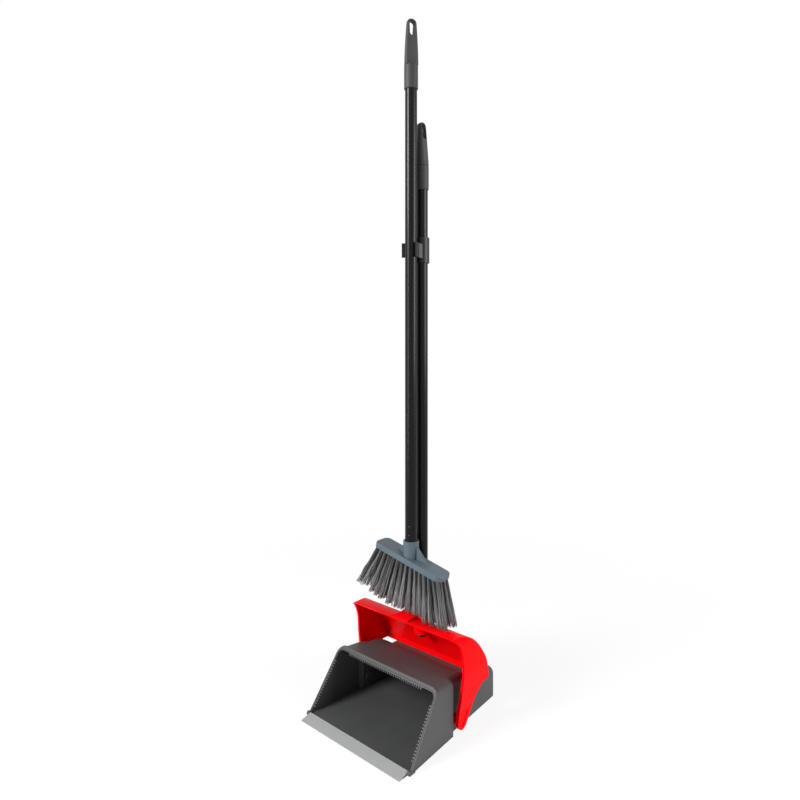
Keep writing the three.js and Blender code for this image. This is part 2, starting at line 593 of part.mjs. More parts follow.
/** Grip: a round sleeve, then a ledge, a flat face and a tapering back, with a hanging hole. */
function grip(height) {
  const top = GRIP_TOP_HALF_WIDTH;
  const round = (radius, z) => ({ half: radius, front: radius, back: radius, flatness: 1, z });
  const levels = [
    round(GRIP_RADIUS - 0.8, 0), round(GRIP_RADIUS, 1.2), round(GRIP_RADIUS, GRIP_LEDGE - 1.5),
    round(GRIP_RADIUS - 0.9, GRIP_LEDGE),
  ];
  for (const share of [0.01, 0.2, 0.4, 0.6, 0.8, 1]) {
    const bulge = 1 - share ** 1.8;
    levels.push({
      half: THREE.MathUtils.lerp(top, GRIP_RADIUS - 0.4, bulge),
      front: GRIP_FACE_AT - share,
      back: THREE.MathUtils.lerp(GRIP_TOP_BACK, GRIP_RADIUS - 0.4, 1 - share),
      z: THREE.MathUtils.lerp(GRIP_LEDGE, height - top, share),
    });
  }
  for (const turn of [20, 40, 58, 74, 90]) {
    const angle = THREE.MathUtils.degToRad(turn);
    const shrink = 0.3 + 0.7 * Math.cos(angle);
    levels.push({
      half: Math.max(top * Math.cos(angle), 1),
      front: (GRIP_FACE_AT - 1) * shrink,
      back: GRIP_TOP_BACK * shrink,
      z: height - top + top * Math.sin(angle),
    });
  }
  const body = loft(levels.map(gripRing));
  const holeRadius = HOLE_WIDTH / 2;
  const holeTop = height - HOLE_BELOW_TOP - holeRadius;
  const holeBottom = holeTop - HOLE_HEIGHT + HOLE_WIDTH;
  const hole = [
    ...arc(0, holeTop, holeRadius, 0, 180, 12),
    ...arc(0, holeBottom, holeRadius * HOLE_LOWER_SHARE, 180, 360, 12),
  ];
  const bore = roundZ(BORE_RADIUS, 0, 0, -1, GRIP_SEAT + GAP);
  return body.subtract(prismY(hole, -2 * GRIP_RADIUS, 2 * GRIP_RADIUS)).subtract(bore);
}

// ---------------------------------------------------------------- clip

/** Clip: a sleeve round the pan stick with open spring jaws for the broom stick. */
function stickClip() {
  const sleeveOuter = BORE_RADIUS + CLIP_WALL;
  const inner = TUBE_RADIUS + GAP;
  const outer = inner + JAW_WALL;
  const start = -JAW_PAST_CENTRE;
  const end = 180 + JAW_PAST_CENTRE;
  const around = (radius, from, to) => arc(0, BROOM_Y, radius, from, to, 34);
  const tip = (side) => {
    const angle = THREE.MathUtils.degToRad(JAW_PAST_CENTRE);
    const [c, s] = [Math.cos(angle), -Math.sin(angle)];
    const x0 = inner * c;
    const y0 = BROOM_Y + inner * s;
    return [[x0 + 0.3, y0 - 1.2], [x0 + JAW_LIP, y0 - JAW_LIP], [x0 + JAW_LIP + 1.6, y0 - JAW_LIP + 2.2],
      [outer * c, BROOM_Y + outer * s + 0.6]].map(([x, y]) => [side * x, y]);
  };
  const jaws = [
    ...around(inner, start, end).reverse(), ...tip(1),
    ...around(outer, start + 4, end - 4), ...tip(-1).reverse(),
  ];
  const sleeve = roundZ(sleeveOuter, 0, PAN_STICK_Y, CLIP_BOTTOM, CLIP_BOTTOM + CLIP_HEIGHT, 40);
  const neckFront = BROOM_Y + outer - 1;
  const neckBack = PAN_STICK_Y - 8;
  const neck = [[-8, neckFront], [8, neckFront], [10, neckBack], [-10, neckBack]];
  const jawTop = JAW_BOTTOM + JAW_HEIGHT;
  const body = joined([sleeve, prismZ(jaws, JAW_BOTTOM, jawTop), prismZ(neck, JAW_BOTTOM, jawTop)]);
  const stickBore = roundZ(BORE_RADIUS, 0, PAN_STICK_Y, CLIP_BOTTOM - 1, CLIP_BOTTOM + CLIP_HEIGHT + 1, 40);
  const jawBore = roundZ(inner, 0, BROOM_Y, CLIP_BOTTOM - 1, CLIP_BOTTOM + CLIP_HEIGHT + 1, 60);
  return body.subtract(stickBore).subtract(jawBore);
}

// ---------------------------------------------------------------- broom head and bristles

const TILT = new THREE.Matrix4()
  .makeRotationY(THREE.MathUtils.degToRad(HEAD_TILT))
  .setPosition(0, BROOM_Y, HEAD_CENTRE_Z);

/** Place in the block's underside of one tuft, in the head's own frame. */
function tuftPlace(column, row) {
  const x = (column - (TUFT_COLUMNS - 1) / 2) * TUFT_PITCH_X;
  const y = (row - (TUFT_ROWS - 1) / 2) * TUFT_PITCH_Y;
  return new THREE.Vector3(x, y, 0);
}

/** The block's plan outline: a long rectangle with round corners. */
function blockPlan(inset) {
  const x = HEAD_LENGTH / 2 - inset;
  const y = HEAD_WIDTH / 2 - inset;
  const r = HEAD_CORNER - inset;
  return [
    ...arc(x - r, y - r, r, 0, 90, 5), ...arc(r - x, y - r, r, 90, 180, 5),
    ...arc(r - x, r - y, r, 180, 270, 5), ...arc(x - r, r - y, r, 270, 360, 5),
  ];
}

/** Broom head: tilted block drilled for the tufts, with an upright threaded socket. */
function broomHead() {
  const chamfer = 1.4;
  const level = (inset, z) => blockPlan(inset).map(([x, y]) => new THREE.Vector3(x, y, z));
  const block = loft([
    level(1, 0), level(0, 1), level(0, HEAD_THICKNESS - chamfer), level(chamfer, HEAD_THICKNESS),
  ]).transform(TILT.elements);
  const holes = [];
  for (let column = 0; column < TUFT_COLUMNS; column += 1) {
    for (let row = 0; row < TUFT_ROWS; row += 1) {
      const { x, y } = tuftPlace(column, row);
      holes.push(roundZ(TUFT_ROOT_RADIUS + GAP, x, y, -1, TUFT_INSERT + GAP, 8));
    }
  }
  const bottom = HEAD_CENTRE_Z + 2 * GAP + TUFT_INSERT;
  const socket = roundZ(HEAD_SOCKET_RADIUS, 0, BROOM_Y, bottom, HEAD_SOCKET_TOP);
  const half = GUSSET_THICKNESS / 2;
  const gussets = prismY(
    [[-32, HEAD_CENTRE_Z + 14], [0, HEAD_CENTRE_Z + 7], [46, HEAD_CENTRE_Z - 4], [16, HEAD_SOCKET_TOP - 10],
      [-14, HEAD_SOCKET_TOP - 8]],
    BROOM_Y - half, BROOM_Y + half,
  );
  const bore = roundZ(BORE_RADIUS, 0, BROOM_Y, BROOM_TUBE_BOTTOM - GAP, HEAD_SOCKET_TOP + 1);
  const threadBore = roundZ(
    THREAD_RADIUS + GAP, 0, BROOM_Y, BROOM_TUBE_BOTTOM - THREAD_LENGTH - GAP, HEAD_SOCKET_TOP,
  );
  const drills = joined(holes).transform(TILT.elements);
  return joined([block, socket, gussets]).subtract(drills).subtract(bore).subtract(threadBore);
}

/** Unit direction in which the tufts of one column point, fanned across the block. */
function fanDirection(column) {
  const share = column / (TUFT_COLUMNS - 1);
  const angle = THREE.MathUtils.degToRad(THREE.MathUtils.lerp(-FAN_LEFT, FAN_RIGHT, share));
  return new THREE.Vector3(Math.sin(angle), 0, -Math.cos(angle));
}

/** One column of tufts, rooted in its holes and joined where the flared tips meet. */
function bristleColumn(column) {
  const direction = fanDirection(column);
  const reach = tuftPlace(column, 0).applyMatrix4(TILT).x + direction.x * TUFT_LENGTH;
  const overBoss = Math.abs(reach) < BOSS_HALF_WIDTH + TUFT_TIP_HALF_X + TUFT_PITCH_X;
  const floor = YOKE_TOP + TUFT_REST_GAP + (overBoss ? COLLAR_RISE : 0);
  const tufts = [];
  for (let row = 0; row < TUFT_ROWS; row += 1) {
    const root = tuftPlace(column, row).applyMatrix4(TILT);
    const hole = tuftPlace(column, row).setZ(TUFT_INSERT).applyMatrix4(TILT);
    const length = Math.min(TUFT_LENGTH, (root.z - floor) / -direction.z);
    const spread = (row - (TUFT_ROWS - 1) / 2) * TUFT_ROW_SPREAD;
    const level = (centre, halfX, halfY, lift = 0) => Array.from({ length: 8 }, (_, i) => {
      const angle = (2 * Math.PI * (i + 0.5)) / 8;
      return new THREE.Vector3(
        centre.x + halfX * Math.cos(angle), centre.y + halfY * Math.sin(angle),
        centre.z - lift * Math.cos(angle),
      );
    });
    const lean = TUFT_ROOT_RADIUS * Math.sin(THREE.MathUtils.degToRad(HEAD_TILT));
    const tip = root.clone().addScaledVector(direction, length).add(new THREE.Vector3(0, spread, 0));
    tufts.push(loft([
      level(hole, TUFT_ROOT_RADIUS, TUFT_ROOT_RADIUS, lean),
      level(root, TUFT_ROOT_RADIUS, TUFT_ROOT_RADIUS, lean),
      level(tip, TUFT_TIP_HALF_X, TUFT_TIP_HALF_Y),
    ]));
  }
  return joined(tufts);
}

// ---------------------------------------------------------------- assembly

/** Turns a grip about its own axis and stands it on its stick. */
function placedGrip(name, y, bottom, height, turn) {
  const mesh = toMesh(name, grip(height), COLOURS.grip, 0.55);
  mesh.rotation.z = THREE.MathUtils.degToRad(turn + 90);
  mesh.position.set(0, y, bottom);
  return mesh;
}

const object = new THREE.Group();
object.add(toMesh('pan_body', panBody(), COLOURS.pan));
object.add(toMesh('pan_lip', panLip(), COLOURS.lip, 0.6));

const handle = new THREE.Group();
handle.add(toMesh('yoke', yoke(), COLOURS.yoke, 0.35));
const panTube = tube(PAN_STICK_Y, PAN_TUBE_BOTTOM, PAN_GRIP_BOTTOM + GRIP_SEAT);
handle.add(toMesh('pan_stick', panTube, COLOURS.tube, 0.3, 0.4));
handle.add(toMesh('pan_stick_plug', threadedPlug(PAN_STICK_Y, PAN_TUBE_BOTTOM), COLOURS.plug));
handle.add(placedGrip('pan_grip', PAN_STICK_Y, PAN_GRIP_BOTTOM, PAN_GRIP_HEIGHT, PAN_GRIP_TURN));
handle.add(toMesh('stick_clip', stickClip(), COLOURS.clip, 0.5));
object.add(handle);

const broom = new THREE.Group();
const broomTube = tube(BROOM_Y, BROOM_TUBE_BOTTOM, BROOM_GRIP_BOTTOM + GRIP_SEAT);
broom.add(toMesh('broom_stick', broomTube, COLOURS.tube, 0.3, 0.4));
broom.add(toMesh('broom_stick_plug', threadedPlug(BROOM_Y, BROOM_TUBE_BOTTOM), COLOURS.plug));
broom.add(placedGrip('broom_grip', BROOM_Y, BROOM_GRIP_BOTTOM, BROOM_GRIP_HEIGHT, BROOM_GRIP_TURN));
broom.add(toMesh('broom_head', broomHead(), COLOURS.head));
for (let column = 0; column < TUFT_COLUMNS; column += 1) {
  const name = `bristles_${String(column + 1).padStart(2, '0')}`;
  broom.add(toMesh(name, bristleColumn(column), COLOURS.bristle, 0.8));
}
object.add(broom);

export default object;
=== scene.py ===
"""Looks of a lobby dust pan and its clipped-on broom.

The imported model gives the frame: every piece here is in metres, with +Z up, the mouth of the
pan towards -Y and the origin on the floor in the middle of the footprint. Shapes are surfaces
worked out with numpy, or refined copies of the moulded parts, and each finish is procedural.
"""

from __future__ import annotations

import json
import logging
import math
from dataclasses import dataclass
from enum import Enum
from typing import Any, Callable, Iterable, Sequence

import bmesh
import bpy
import numpy as np
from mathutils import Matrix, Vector

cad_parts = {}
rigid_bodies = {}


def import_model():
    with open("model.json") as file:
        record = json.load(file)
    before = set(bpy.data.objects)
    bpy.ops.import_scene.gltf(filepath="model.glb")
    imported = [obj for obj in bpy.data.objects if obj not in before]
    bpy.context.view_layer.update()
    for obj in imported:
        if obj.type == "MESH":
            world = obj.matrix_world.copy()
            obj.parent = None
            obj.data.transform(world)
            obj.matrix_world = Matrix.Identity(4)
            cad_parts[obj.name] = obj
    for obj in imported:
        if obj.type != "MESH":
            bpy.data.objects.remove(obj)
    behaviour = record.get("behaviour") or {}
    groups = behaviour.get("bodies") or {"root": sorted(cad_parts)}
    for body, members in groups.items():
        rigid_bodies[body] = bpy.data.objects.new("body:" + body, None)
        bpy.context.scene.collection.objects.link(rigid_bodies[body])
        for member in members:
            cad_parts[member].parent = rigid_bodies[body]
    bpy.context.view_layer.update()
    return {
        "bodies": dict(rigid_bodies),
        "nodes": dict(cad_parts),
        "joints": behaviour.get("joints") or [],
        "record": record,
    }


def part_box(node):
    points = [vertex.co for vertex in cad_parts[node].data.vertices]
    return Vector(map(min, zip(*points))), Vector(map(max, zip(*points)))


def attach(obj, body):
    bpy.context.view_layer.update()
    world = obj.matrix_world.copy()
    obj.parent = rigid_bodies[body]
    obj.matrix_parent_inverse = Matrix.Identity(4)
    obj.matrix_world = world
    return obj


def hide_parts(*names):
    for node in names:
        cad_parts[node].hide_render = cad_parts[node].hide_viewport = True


LOG = logging.getLogger("dust_pan_set")
MM = 0.001
WELD = 0.002 * MM
FLAT_WITHIN = math.radians(0.6)
SHADING_WEIGHT = 90


class Body(Enum):
    """The bodies of the set that move on their own."""

    PAN = "pan"
    HANDLE = "handle"
    CLIP = "clip"
    BROOM = "broom"


class Slot(Enum):
    """Material slots of the record."""

    PAN = "pan_plastic"
    LIP = "lip_rubber"
    YOKE = "yoke_plastic"
    STICK = "stick_paint"
    GRIP = "grip_plastic"
    CLIP = "clip_plastic"
    HEAD = "head_plastic"
    BRISTLE = "bristle_fibre"


# ------------------------------------------------------------------ shader expressions


class Value:
    """A number that varies over a surface. Operators on it add Math nodes."""

    def __init__(self, graph: "Graph", socket: Any) -> None:
        """Wraps one output socket.

        Args:
            graph: The node graph that the socket is in.
            socket: The output socket.
        """
        self.graph = graph
        self.socket = socket

    def _math(self, operation: str, first: Any, second: Any = None) -> "Value":
        """Adds one Math node.

        Args:
            operation: The node's operation.
            first: Its first operand, a Value or a number.
            second: Its second operand, or None for an operation with one.

        Returns:
            The node's output.
        """
        inputs = {0: first} if second is None else {0: first, 1: second}
        node = self.graph.node("ShaderNodeMath", {"operation": operation}, inputs)
        return Value(self.graph, node.outputs[0])

    def __add__(self, other: Any) -> "Value":
        """Sum."""
        return self._math("ADD", self, other)

    def __radd__(self, other: Any) -> "Value":
        """Sum with a number on the left."""
        return self._math("ADD", other, self)

    def __sub__(self, other: Any) -> "Value":
        """Difference."""
        return self._math("SUBTRACT", self, other)

    def __rsub__(self, other: Any) -> "Value":
        """Difference with a number on the left."""
        return self._math("SUBTRACT", other, self)

    def __mul__(self, other: Any) -> "Value":
        """Product."""
        return self._math("MULTIPLY", self, other)

    def __rmul__(self, other: Any) -> "Value":
        """Product with a number on the left."""
        return self._math("MULTIPLY", other, self)

    def __truediv__(self, other: Any) -> "Value":
        """Quotient."""
        return self._math("DIVIDE", self, other)

    def __pow__(self, other: Any) -> "Value":
        """Power."""
        return self._math("POWER", self, other)

    def ramp(self, low: float, high: float, start: float = 0.0, end: float = 1.0) -> "Value":
        """Maps a stretch of this value smoothly onto another.

        Args:
            low: Value where the result is `start`.
            high: Value where the result is `end`.
            start: Result below the stretch.
            end: Result above the stretch.

        Returns:
            The mapped value.
        """
        settings = {"interpolation_type": "SMOOTHSTEP"}
        inputs = {"Value": self, "From Min": low, "From Max": high, "To Min": start, "To Max": end}
        return Value(self.graph, self.graph.node("ShaderNodeMapRange", settings, inputs).outputs[0])


class Graph:
    """The node tree of one material."""

    def __init__(self, name: str) -> None:
        """Makes a material with an empty tree.

        Args:
            name: The material's name.
        """
        self.material = bpy.data.materials.new(name)
        self.material.use_nodes = True
        self.tree = self.material.node_tree
        self.tree.nodes.clear()

    def node(self, kind: str, settings: dict[str, Any] | None = None, inputs: dict | None = None) -> Any:
        """Adds any node.

        Args:
            kind: The node's type.
            settings: Properties of the node, which are set first.
            inputs: Values or links of its sockets, by name or number.

        Returns:
            The node.
        """
        node = self.tree.nodes.new(kind)
        for key, value in (settings or {}).items():
            setattr(node, key, value)
        for key, value in (inputs or {}).items():
            if isinstance(value, Value):
                self.tree.links.new(value.socket, node.inputs[key])
            elif isinstance(value, bpy.types.NodeSocket):
                self.tree.links.new(value, node.inputs[key])
            else:
                node.inputs[key].default_value = value
        return node

    def place(self) -> Any:
        """Object coordinates, which are the frame's own metres."""
        return self.node("ShaderNodeTexCoord").outputs["Object"]

    def stretched(self, scale: Sequence[float]) -> Any:
        """Object coordinates multiplied by a scale for each axis.

        Args:
            scale: The three factors.

        Returns:
            The vector's socket.
        """
        return self.node("ShaderNodeMapping", {}, {"Vector": self.place(), "Scale": tuple(scale)}).outputs[0]

    def noise(self, scale: float, detail: float = 3.0, rough: float = 0.5, vector: Any = None) -> Value:
        """Fractal noise from 0 to 1.

        Args:
            scale: Cells for each metre.
            detail: Octaves.
            rough: How much the finer octaves count.
            vector: Coordinates, or None for the object's own.

        Returns:
            The noise.
        """
        inputs = {"Vector": vector or self.place(), "Scale": scale, "Detail": detail, "Roughness": rough}
        return Value(self, self.node("ShaderNodeTexNoise", {}, inputs).outputs[0])

    def attribute(self, name: str) -> Value:
        """A number stored on the mesh."""
        node = self.node("ShaderNodeAttribute", {"attribute_name": name})
        return Value(self, node.outputs["Fac"])

    def blend(self, factor: Any, first: Any, second: Any) -> Any:
        """Mixes two colours.

        Args:
            factor: Share of the second colour, a Value or a number.
            first: Colour at 0, a triple or a socket.
            second: Colour at 1, a triple or a socket.

        Returns:
            The mixed colour's socket.
        """
        wide = [c if isinstance(c, bpy.types.NodeSocket) else (*c, 1.0) for c in (first, second)]
        node = self.node("ShaderNodeMix", {"data_type": "RGBA"}, {0: factor, 6: wide[0], 7: wide[1]})
        return node.outputs[2]

    def bump(self, height: Value, distance: float, strength: float = 1.0) -> Any:
        """A bumped normal.

        Args:
            height: Height from 0 to 1.
            distance: What a height of 1 stands for, in metres.
            strength: Share of the bump that is used.

        Returns:
            The normal's socket.
        """
        inputs = {"Height": height, "Distance": distance, "Strength": strength}
        return self.node("ShaderNodeBump", {}, inputs).outputs[0]

    def surface(self, varying: dict[str, Any], fixed: dict[str, Any]) -> bpy.types.Material:
        """Ends the graph in one Principled shader.

        Args:
            varying: Inputs that are linked.
            fixed: Inputs that are the same all over.

        Returns:
            The finished material.
        """
        shader = self.node("ShaderNodeBsdfPrincipled", {}, {**fixed, **varying})
        self.node("ShaderNodeOutputMaterial", {}, {0: shader.outputs[0]})
        return self.material


# ------------------------------------------------------------------ finishes


@dataclass(frozen=True)
class MouldedPlastic:
    """Injection-moulded plastic: even colour, a fine spark-eroded grain and faint handling marks."""

    name: str
    colour: tuple[float, float, float]
    roughness: float = 0.45
    grain: float = 0.00003
    grain_scale: float = 2600.0
    mottle: float = 0.10
    specular: float = 0.35

    def build(self) -> bpy.types.Material:
        """Builds the material: two noises shift the colour, roughness and surface a little.

        Returns:
            The material.
        """
        graph = Graph(self.name)
        cloud = graph.noise(14.0, 4.0)
        speck = graph.noise(self.grain_scale, 2.0)
        scuff = graph.noise(1.0, 5.0, 0.65, graph.stretched((90.0, 320.0, 60.0))).ramp(0.58, 0.80)
        dark = tuple(c * (1.0 - self.mottle) for c in self.colour)
        light = tuple(min(1.0, c * (1.0 + self.mottle) + 0.002) for c in self.colour)
        shade = graph.blend(cloud.ramp(0.3, 0.7), dark, light)
        rough = self.roughness + 0.08 * (cloud - 0.5) + 0.07 * (speck - 0.5) + 0.06 * scuff
        height = 0.8 * speck + 0.2 * graph.noise(self.grain_scale / 5.0, 2.0)
        varying = {"Base Color": shade, "Roughness": rough, "Normal": graph.bump(height, self.grain)}
        return graph.surface(varying, {"IOR": 1.49, "Specular IOR Level": self.specular})


@dataclass(frozen=True)
class CoatedTube:
    """Black plastic-coated steel tube: glossy, with slow waves and hairline rubs along it."""

    name: str = "black_coated_tube"
    colour: tuple[float, float, float] = (0.0028, 0.0028, 0.0032)

    def build(self) -> bpy.types.Material:
        """Builds the material: orange peel in the coat and long rubs in its roughness.

        Returns:
            The material.
        """
        graph = Graph(self.name)
        peel = graph.noise(420.0, 2.0)
        rub = graph.noise(1.0, 4.0, 0.6, graph.stretched((900.0, 900.0, 16.0))).ramp(0.55, 0.85)
        patch = graph.noise(9.0, 3.0)
        shade = graph.blend(rub * 0.3 + patch * 0.2, self.colour, tuple(2.5 * c for c in self.colour))
        rough = 0.20 + 0.08 * patch + 0.08 * rub
        varying = {"Base Color": shade, "Roughness": rough, "Normal": graph.bump(peel, 0.000008)}
        return graph.surface(varying, {"IOR": 1.5, "Specular IOR Level": 0.16})


@dataclass(frozen=True)
class SoftLip:
    """Light grey flexible lip: matt, slightly cloudy, with fine drag lines along its slope."""

    name: str = "soft_grey_lip"
    colour: tuple[float, float, float] = (0.268, 0.276, 0.272)

    def build(self) -> bpy.types.Material:
        """Builds the material: lines across the lip in roughness and height, and soft clouding.

        Returns:
            The material.
        """
        graph = Graph(self.name)
        cloud = graph.noise(30.0, 3.0)
        drag = graph.noise(1.0, 3.0, 0.6, graph.stretched((700.0, 25.0, 25.0)))
        dust = graph.noise(240.0, 4.0, 0.7).ramp(0.6, 0.8)
        shade = graph.blend(0.6 * cloud + 0.3 * drag, tuple(0.88 * c for c in self.colour), self.colour)
        shade = graph.blend(dust * 0.25, shade, tuple(0.6 * c for c in self.colour))
        varying = {
            "Base Color": shade,
            "Roughness": 0.55 + 0.1 * cloud,
            "Normal": graph.bump(0.6 * drag + 0.4 * graph.noise(1800.0, 2.0), 0.00004),
        }
        return graph.surface(varying, {"IOR": 1.5})


@dataclass(frozen=True)
class BristleFibre:
    """Grey synthetic filament: darker towards the roots as painted shade under the block and between the
    tufts, paler towards the split tips, each strand its own tone.
    """

    name: str = "grey_bristle_fibre"
    # root is painted shade: the dark colour near the block stands for the shade under it and between the
    # tufts
    root: tuple[float, float, float] = (0.09, 0.09, 0.09)
    tip: tuple[float, float, float] = (0.27, 0.27, 0.27)

    def build(self) -> bpy.types.Material:
        """Builds the material from the strand's own tone and its share along the strand, which darkens it
        towards the roots as painted shade.

        Returns:
            The material.
        """
        graph = Graph(self.name)
        along = graph.attribute("along")
        strand = graph.attribute("strand")
        fleck = graph.noise(900.0, 2.0)
        # Painted shade: darker towards the roots, where the block and the tufts shade the strands; paler
        # towards the split tips
        root_shade_and_pale_tips = graph.blend(along.ramp(0.0, 0.8), self.root, self.tip)
        shade = graph.blend(0.85 * strand**1.5 + 0.12 * fleck, root_shade_and_pale_tips, (0.045, 0.045, 0.046))
        varying = {"Base Color": shade, "Roughness": 0.50 + 0.15 * strand}
        return graph.surface(varying, {"IOR": 1.5})


class Palette:
    """Every finish of the set, made once."""

    def __init__(self) -> None:
        """Builds the materials."""
        self.pan = MouldedPlastic(
            "dark_grey_pan_plastic", (0.060, 0.061, 0.062), 0.40, mottle=0.06, specular=0.18,
        ).build()
        self.lip = SoftLip().build()
        self.yoke = MouldedPlastic(
            "red_yoke_plastic", (0.84, 0.0, 0.002), 0.34, grain=0.00001, mottle=0.03, specular=0.03,
        ).build()
        self.stick = CoatedTube().build()
        self.plug = MouldedPlastic("black_plug_plastic", (0.02, 0.02, 0.021)).build()
        self.grip = MouldedPlastic(
            "grey_grip_plastic", (0.034, 0.034, 0.036), 0.50,
            grain=0.00005, grain_scale=1500.0, specular=0.22,
        ).build()
        self.clip = MouldedPlastic("black_clip_plastic", (0.007, 0.007, 0.008), 0.38, specular=0.25).build()
        self.head = MouldedPlastic(
            "blue_grey_head_plastic", (0.058, 0.083, 0.101), 0.38, mottle=0.06, specular=0.4,
        ).build()
        self.bristle = BristleFibre().build()


# ------------------------------------------------------------------ surfaces


def mesh_object(name: str, points: np.ndarray, faces: np.ndarray, smooth: bool = True) -> bpy.types.Object:
    """Puts points and equal-sided faces into a new object at the origin.

    Args:
        name: The piece's name.
        points: (n, 3) places in metres.
        faces: (m, 3) or (m, 4) point numbers.
        smooth: Whether its faces are shaded smooth.

    Returns:
        The object.
    """
    mesh = bpy.data.meshes.new(name)
    sides = faces.shape[1]
    mesh.vertices.add(len(points))
    mesh.vertices.foreach_set("co", np.ascontiguousarray(points, np.float32).ravel())
    mesh.loops.add(faces.size)
    mesh.loops.foreach_set("vertex_index", np.ascontiguousarray(faces, np.int32).ravel())
    mesh.polygons.add(len(faces))
    mesh.polygons.foreach_set("loop_start", np.arange(len(faces), dtype=np.int32) * sides)
    mesh.polygons.foreach_set("use_smooth", np.full(len(faces), smooth))
    mesh.update(calc_edges=True)
    mesh.validate()
    piece = bpy.data.objects.new(name, mesh)
    bpy.context.scene.collection.objects.link(piece)
    return piece


def grid_faces(rows: int, columns: int, wrap_rows: bool, wrap_columns: bool) -> np.ndarray:
    """Quads of a grid of points, row by row.

    Args:
        rows: Count of rows.
        columns: Points in a row.
        wrap_rows: Whether the last row meets the first.
        wrap_columns: Whether each row closes on itself.

    Returns:
        (n, 4) point numbers.
    """
    r = np.arange(rows if wrap_rows else rows - 1)[:, None]
    c = np.arange(columns if wrap_columns else columns - 1)[None, :]
    r1, c1 = (r + 1) % rows, (c + 1) % columns
    quads = [r * columns + c, r * columns + c1, r1 * columns + c1, r1 * columns + c]
    return np.stack([np.broadcast_to(q, (len(r), c.shape[1])) for q in quads], -1).reshape(-1, 4)


def revolved(name: str, profile: np.ndarray, centre: tuple[float, float], sides: int,
             dent: Callable[[np.ndarray, np.ndarray], np.ndarray] | None = None) -> bpy.types.Object:
    """Turns a closed profile round a vertical axis: x = r cos a, y = r sin a.

    Args:
        name: The piece's name.
        profile: (n, 2) radius and height, a ring that runs up outside and down inside.
        centre: The axis's X and Y.
        sides: Steps round.
        dent: How much the radius gives at an angle and a height, or None.

    Returns:
        The piece.
    """
    angle = np.linspace(0.0, 2.0 * math.pi, sides, endpoint=False)[None, :]
    radius = np.repeat(profile[:, :1], sides, axis=1)
    height = np.repeat(profile[:, 1:], sides, axis=1)
    if dent is not None:
        radius = radius - dent(angle, height)
    points = np.stack([centre[0] + radius * np.cos(angle), centre[1] + radius * np.sin(angle), height], -1)
    faces = grid_faces(len(profile), sides, True, True)
    return mesh_object(name, points.reshape(-1, 3), faces[:, ::-1])


def tube_profile(inner: float, outer: float, low: float, high: float, steps: int, edge: float) -> np.ndarray:
    """Ring profile of a tube with small rounded rims.

    Args:
        inner: Bore radius.
        outer: Outside radius.
        low: Lower end.
        high: Upper end.
        steps: Stretches up the outside.
        edge: Rounding of the outer rims.

    Returns:
        (n, 2) radius and height, counter-clockwise with height up.
    """
    rise = np.linspace(low + edge, high - edge, steps)
    outside = np.stack([np.full(steps, outer), rise], 1)
    rims = [[inner, low], [outer - edge, low]], [[outer - edge, high], [inner, high]]
    return np.concatenate([np.array(rims[0]), outside, np.array(rims[1])])


def refined_copy(name: str, node: bpy.types.Object, width: float, segments: int = 2,
                 angle: float = 30.0) -> bpy.types.Object:
    """Copies a moulded part, merges its triangles and rounds its edges.

    Args:
        name: The piece's name.
        node: The CAD node that it is copied from.
        width: Rounding width in metres.
        segments: Steps across a rounded edge.
        angle: Least angle, in degrees, of an edge that is rounded.

    Returns:
        The piece.
    """
    mesh = bpy.data.meshes.new(name)
    shape = bmesh.new()
    shape.from_mesh(node.data)
    bmesh.ops.remove_doubles(shape, verts=shape.verts, dist=WELD)
    bmesh.ops.dissolve_limit(
        shape, angle_limit=FLAT_WITHIN, verts=shape.verts, edges=shape.edges, delimit={"NORMAL"},
    )
    shape.to_mesh(mesh)
    shape.free()
    mesh.materials.clear()
    piece = bpy.data.objects.new(name, mesh)
    bpy.context.scene.collection.objects.link(piece)
    bevel = piece.modifiers.new("rounded_edges", "BEVEL")
    bevel.width = width
    bevel.segments = segments
    bevel.limit_method = "ANGLE"
    bevel.angle_limit = math.radians(angle)
    bevel.use_clamp_overlap = True
    mesh.polygons.foreach_set("use_smooth", np.ones(len(mesh.polygons), bool))
    even = piece.modifiers.new("even_shading", "WEIGHTED_NORMAL")
    even.weight = SHADING_WEIGHT
    even.keep_sharp = True
    return piece


def dress(piece: bpy.types.Object, material: bpy.types.Material, body: Body,
          replaced: Iterable[str] = ()) -> bpy.types.Object:
    """Gives a new piece its finish and its body, and hides the CAD nodes it stands for.

    Args:
        piece: The new piece.
        material: Its finish.
        body: The body that it rides on.
        replaced: CAD nodes that it stands for.

    Returns:
        The same piece.
    """
    piece.data.materials.clear()
    piece.data.materials.append(material)
    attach(piece, body.value)
    names = list(replaced)
    if names:
        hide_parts(*names)
    LOG.info("%s: %d faces", piece.name, len(piece.data.polygons))
    return piece


# ------------------------------------------------------------------ sub-assemblies


@dataclass
class Pan:
    """The moulded pan and its soft lip."""

    edge: float = 0.5 * MM
    lip_edge: float = 0.4 * MM

    def build(self, frame: dict[str, Any], palette: Palette) -> None:
        """Builds the pan's pieces.

        Args:
            frame: The loaded frame.
            palette: The finishes.
        """
        body = refined_copy("pan_shell", frame["nodes"]["pan_body"], self.edge)
        dress(body, palette.pan, Body.PAN, ["pan_body"])
        lip = refined_copy("pan_lip_strip", frame["nodes"]["pan_lip"], self.lip_edge)
        dress(lip, palette.lip, Body.PAN, ["pan_lip"])


